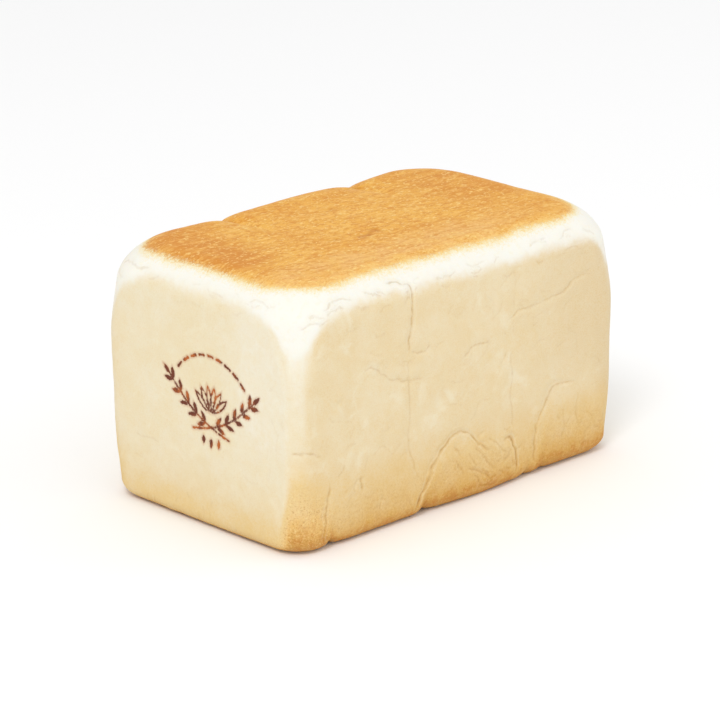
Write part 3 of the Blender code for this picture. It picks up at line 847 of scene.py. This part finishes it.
    # paler and fleckier just inside the edge, deeper a little further in
    ring = g.math("MULTIPLY", g.ramp(toast, 1.0, 5.0), g.ramp(toast, 20.0, 8.0))
    top = g.mix(g.math("MULTIPLY", g.math("MULTIPLY", ring, g.math("SUBTRACT", 1.0, fronts)), g.ramp(patch, 0.40, 0.62, 0.05, 0.40)), top, COLOURS["toast_dark"])
    near_edge = g.ramp(toast, 9.0, 0.0)
    near_edge = g.math("MULTIPLY", near_edge, g.ramp(g.attr("endward"), 0.7, 0.0, 0.30, 1.0))
    top = g.mix(g.math("MULTIPLY", near_edge, g.ramp(fine, 0.42, 0.60, 0.05, 0.70)), top, COLOURS["toast_light"])
    dent = g.math("MULTIPLY", stain, g.ramp(toast, 2.0, 8.0))
    top = g.mix(g.math("MULTIPLY", dent, 0.95), top, COLOURS["dent"])

    ragged = g.math("ADD", toast, g.math("MULTIPLY", g.math("SUBTRACT", fine, 0.5), 6.5))
    ragged = g.math("ADD", ragged, g.math("MULTIPLY", g.math("SUBTRACT", grit, 0.5), 4.5))
    ragged = g.math("ADD", ragged, g.math("MULTIPLY", g.math("SUBTRACT", mottle, 0.5), 2.0))
    fringe = g.ramp(ragged, -3.2, 1.2)
    cover = g.ramp(ragged, -0.6, 2.6)
    colour = g.mix(g.math("MULTIPLY", fringe, 0.90), body, COLOURS["toast_edge"])
    colour = g.mix(cover, colour, top)

    # the burnt mark, darkest at the rim of each stroke
    crisp = g.math("ADD", burn, g.math("MULTIPLY", g.math("SUBTRACT", fine, 0.5), 1.4))
    crisp = g.math("ADD", crisp, g.math("MULTIPLY", g.math("SUBTRACT", mottle, 0.5), 1.0))
    halo = g.ramp(crisp, 1.3, 0.1, 0.0, 0.30)
    colour = g.mix(halo, colour, COLOURS["burn_light"])
    tone = g.mix(g.ramp(patch, 0.46, 0.62), COLOURS["burn"], COLOURS["burn_light"])
    colour = g.mix(g.ramp(crisp, 0.25, -0.15, 0.0, 0.96), colour, tone)

    shader = g.new("ShaderNodeBsdfPrincipled")
    g.link(colour, shader.inputs["Base Color"])
    rough = g.ramp(cover, 0.0, 1.0, 0.66, 0.58)
    rough = g.math("ADD", rough, g.math("MULTIPLY", g.math("SUBTRACT", mottle, 0.5), 0.16))
    g.link(rough, shader.inputs["Roughness"])
    shader.inputs["Specular IOR Level"].default_value = 0.28
    shader.inputs["Subsurface Weight"].default_value = 0.12
    shader.inputs["Subsurface Radius"].default_value = (1.0, 0.75, 0.45)
    shader.inputs["Subsurface Scale"].default_value = 0.0018

    # fine relief: leathery skin on the sides, felt-like crumb on the top
    height = g.math("MULTIPLY", mottle, 0.30)
    height = g.math("ADD", height, g.math("MULTIPLY", fine, 0.16))
    felt = g.math("ADD", g.math("MULTIPLY", fibre, 0.30), g.math("MULTIPLY", fibre2, 0.26))
    height = g.math("ADD", height, g.math("MULTIPLY", felt, cover))
    height = g.math("SUBTRACT", height, g.math("MULTIPLY", g.ramp(crisp, 0.3, -0.3), 0.35))
    bump = g.new("ShaderNodeBump")
    bump.inputs["Strength"].default_value = 0.55
    bump.inputs["Distance"].default_value = 0.0006
    g.link(height, bump.inputs["Height"])
    g.link(bump.outputs[0], shader.inputs["Normal"])
    out = g.new("ShaderNodeOutputMaterial")
    g.link(shader.outputs[0], out.inputs["Surface"])
    return mat


# ---------------------------------------------------------------- stage
def make_floor():
    mesh = bpy.data.meshes.new("floor")
    s = 6.0
    mesh.from_pydata([(-s, -s, 0), (s, -s, 0), (s, s, 0), (-s, s, 0)], [], [(0, 1, 2, 3)])
    floor = bpy.data.objects.new("floor", mesh)
    bpy.context.scene.collection.objects.link(floor)
    mat = bpy.data.materials.new("studio_floor")
    mat.use_nodes = True
    shader = mat.node_tree.nodes["Principled BSDF"]
    shader.inputs["Base Color"].default_value = (0.96, 0.96, 0.96, 1)
    shader.inputs["Roughness"].default_value = 0.9
    shader.inputs["Specular IOR Level"].default_value = 0.1
    mesh.materials.append(mat)


def lamp(name, where, aim, size, power):
    data = bpy.data.lights.new(name, "AREA")
    data.shape = "DISK"
    data.size = size
    data.energy = power
    data.color = (1, 1, 1)
    obj = bpy.data.objects.new(name, data)
    obj.location = where
    obj.rotation_euler = (Vector(aim) - Vector(where)).to_track_quat("-Z", "Y").to_euler()
    bpy.context.scene.collection.objects.link(obj)


def make_lights():
    world = bpy.data.worlds.new("studio")
    bpy.context.scene.world = world
    world.use_nodes = True
    back = world.node_tree.nodes["Background"]
    back.inputs["Color"].default_value = (1, 1, 1, 1)
    back.inputs["Strength"].default_value = WORLD
    aim = (0, 0, 0.06)
    lamp("key", (-1.30, -0.85, 1.9), aim, 0.8, KEY)
    lamp("fill", (1.7, -1.1, 0.9), aim, 1.4, FILL)


WORLD, KEY, FILL = 0.86, 16.5, 4.0


def make_camera():
    yaw, pitch, roll = math.radians(-43.7485), math.radians(18.5384), math.radians(-0.7099)
    back = Vector((math.sin(yaw) * math.cos(pitch), -math.cos(yaw) * math.cos(pitch), math.sin(pitch)))
    right = Vector((math.cos(yaw), math.sin(yaw), 0))
    up = back.cross(right)
    across = right * math.cos(roll) + up * math.sin(roll)
    upward = up * math.cos(roll) - right * math.sin(roll)
    aim = Vector((0, 0, 0.5 * HEIGHT)) + right * (-0.0205 * HEIGHT) + Vector((0, 0, -0.0562 * HEIGHT))
    where = aim + back * 12.9766 * HEIGHT
    data = bpy.data.cameras.new("camera")
    data.sensor_width = 36.0
    data.lens = 3389.03 / 720 * 36.0
    data.clip_start, data.clip_end = 0.05, 50
    cam = bpy.data.objects.new("camera", data)
    m = Matrix((across, upward, back)).transposed().to_4x4()
    m.translation = where
    cam.matrix_world = m
    bpy.context.scene.collection.objects.link(cam)
    bpy.context.scene.camera = cam


bpy.context.scene.view_settings.view_transform = "Standard"
make_floor()
make_lights()
make_camera()
loaf = make_loaf()
loaf.data.materials.append(crust_material())
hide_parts("loaf")
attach(loaf, "root")
